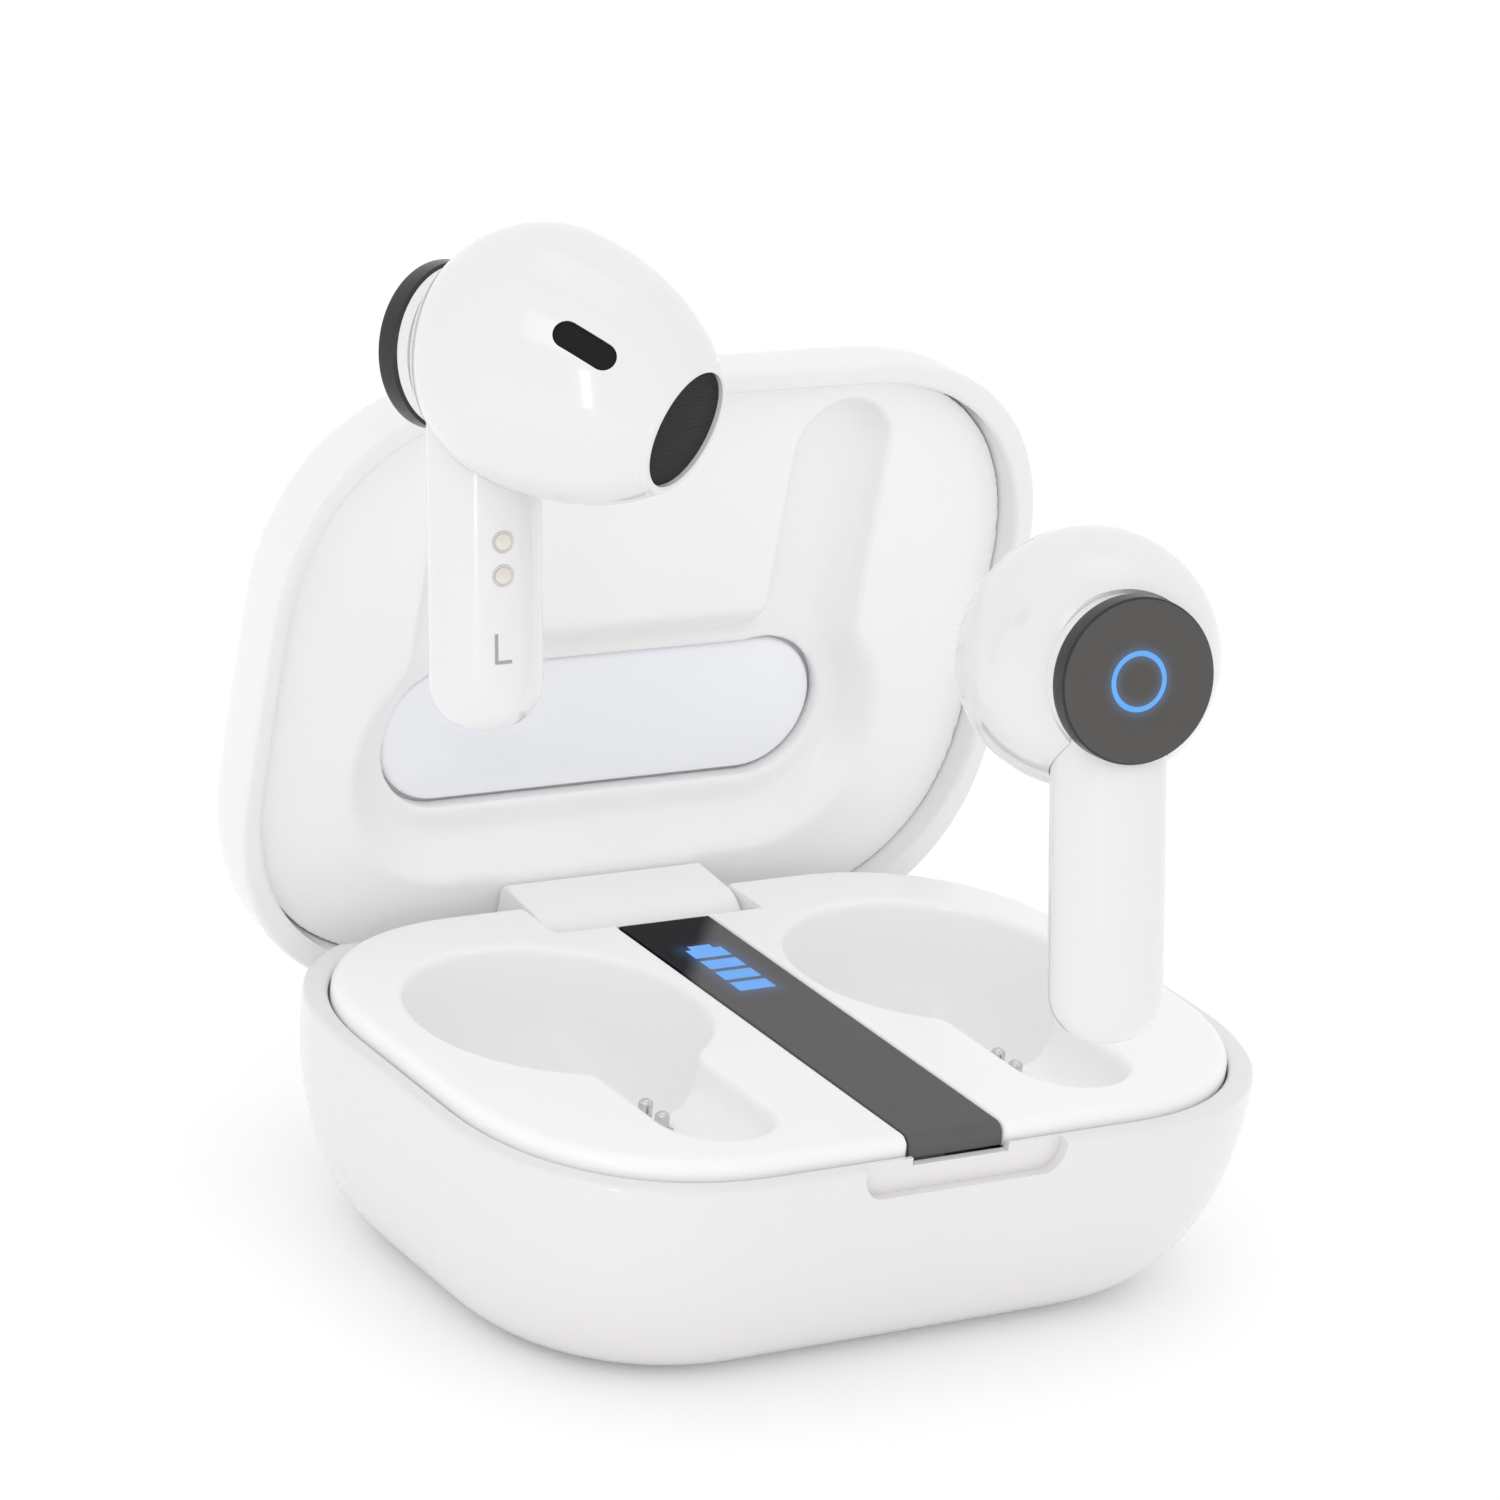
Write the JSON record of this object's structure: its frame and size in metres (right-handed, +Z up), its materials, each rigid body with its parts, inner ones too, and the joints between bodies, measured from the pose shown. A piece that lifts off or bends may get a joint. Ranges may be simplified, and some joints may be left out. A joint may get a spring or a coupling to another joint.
{
  "type": "wireless earbuds case",
  "caption": "Rounded pocket charging case with a hinged lid and display strip, shown open with its stemmed earbuds lifted out in front of it.",
  "frame": {"origin": "centre of the base's flat underside", "axes": "+Z up, +X to the right seen from the front, +Y to the rear, where the hinge is"},
  "size_m": [0.071, 0.0679, 0.0765],
  "materials": {
    "gloss_white": "glossy white moulded plastic",
    "satin_white": "white plastic with a softer sheen",
    "pale_white": "pale cool white insert",
    "black_gloss": "dark polished display lens",
    "blue_light": "blue light guide",
    "board": "green solder mask on circuit board",
    "cell_foil": "grey foil of a battery cell",
    "cap_metal": "dark grey satin touch cap",
    "black_mesh": "fine black grille",
    "contact_gold": "pale gold plated contact",
    "black_plastic": "black moulded plastic",
    "steel": "bare steel"
  },
  "bodies": {
    "case_base": {"base_shell": "gloss_white", "deck": "satin_white", "status_lens": "black_gloss", "level_light_1": "blue_light", "level_light_2": "blue_light", "level_light_3": "blue_light", "level_light_4": "blue_light", "main_board": "board", "case_cell": "cell_foil", "charging_socket": "steel", "closing_magnet_base": "steel", "hinge_pin": "steel", "hinge_spring": "steel", "board_screw_left": "steel", "board_screw_right": "steel", "pin_block_left": "black_plastic", "hinge_lug_left": "satin_white", "pin_block_right": "black_plastic", "hinge_lug_right": "satin_white"},
    "lid": {"lid_shell": "gloss_white", "lid_liner": "satin_white", "lid_inlay": "pale_white", "hinge_leaf": "gloss_white", "closing_magnet_lid": "steel"},
    "left_earbud": {"head_shell_left": "gloss_white", "stem_shell_left": "gloss_white", "touch_cap_left": "cap_metal", "light_ring_left": "blue_light", "speaker_mesh_left": "black_mesh", "vent_mesh_left": "black_mesh", "speaker_driver_left": "steel", "bud_cell_left": "cell_foil", "bud_board_left": "board", "microphone_left": "steel", "contact_lower_left": "contact_gold", "contact_upper_left": "contact_gold"},
    "right_earbud": {"head_shell_right": "gloss_white", "stem_shell_right": "gloss_white", "touch_cap_right": "cap_metal", "light_ring_right": "blue_light", "speaker_mesh_right": "black_mesh", "vent_mesh_right": "black_mesh", "speaker_driver_right": "steel", "bud_cell_right": "cell_foil", "bud_board_right": "board", "microphone_right": "steel", "contact_lower_right": "contact_gold", "contact_upper_right": "contact_gold"},
    "charge_pin_left_front_body": {"charge_pin_left_front": "contact_gold"},
    "charge_pin_left_rear_body": {"charge_pin_left_rear": "contact_gold"},
    "charge_pin_right_front_body": {"charge_pin_right_front": "contact_gold"},
    "charge_pin_right_rear_body": {"charge_pin_right_rear": "contact_gold"}
  },
  "joints": [
    {"name": "lid_hinge", "type": "hinge", "parent": "case_base", "child": "lid", "pos_m": [0, 0.0198, 0.0134], "axis": [1, 0, 0], "range_deg": [0, 85], "stiffness_Nm_per_rad": 0.001, "springref_deg": -34.38},
    {"name": "left_earbud_lift", "type": "slide", "parent": "case_base", "child": "left_earbud", "axis": [0, 0, 1], "range_m": [0, 0.035]},
    {"name": "right_earbud_lift", "type": "slide", "parent": "case_base", "child": "right_earbud", "axis": [0, 0, 1], "range_m": [0, 0.035]},
    {"name": "charge_pin_left_front_press", "type": "slide", "parent": "case_base", "child": "charge_pin_left_front_body", "axis": [0, 0, 1], "range_m": [-0.0006, 0], "stiffness_N_per_m": 300, "springref_m": 0.0003},
    {"name": "charge_pin_left_rear_press", "type": "slide", "parent": "case_base", "child": "charge_pin_left_rear_body", "axis": [0, 0, 1], "range_m": [-0.0006, 0], "stiffness_N_per_m": 300, "springref_m": 0.0003},
    {"name": "charge_pin_right_front_press", "type": "slide", "parent": "case_base", "child": "charge_pin_right_front_body", "axis": [0, 0, 1], "range_m": [-0.0006, 0], "stiffness_N_per_m": 300, "springref_m": 0.0003},
    {"name": "charge_pin_right_rear_press", "type": "slide", "parent": "case_base", "child": "charge_pin_right_rear_body", "axis": [0, 0, 1], "range_m": [-0.0006, 0], "stiffness_N_per_m": 300, "springref_m": 0.0003}
  ]
}
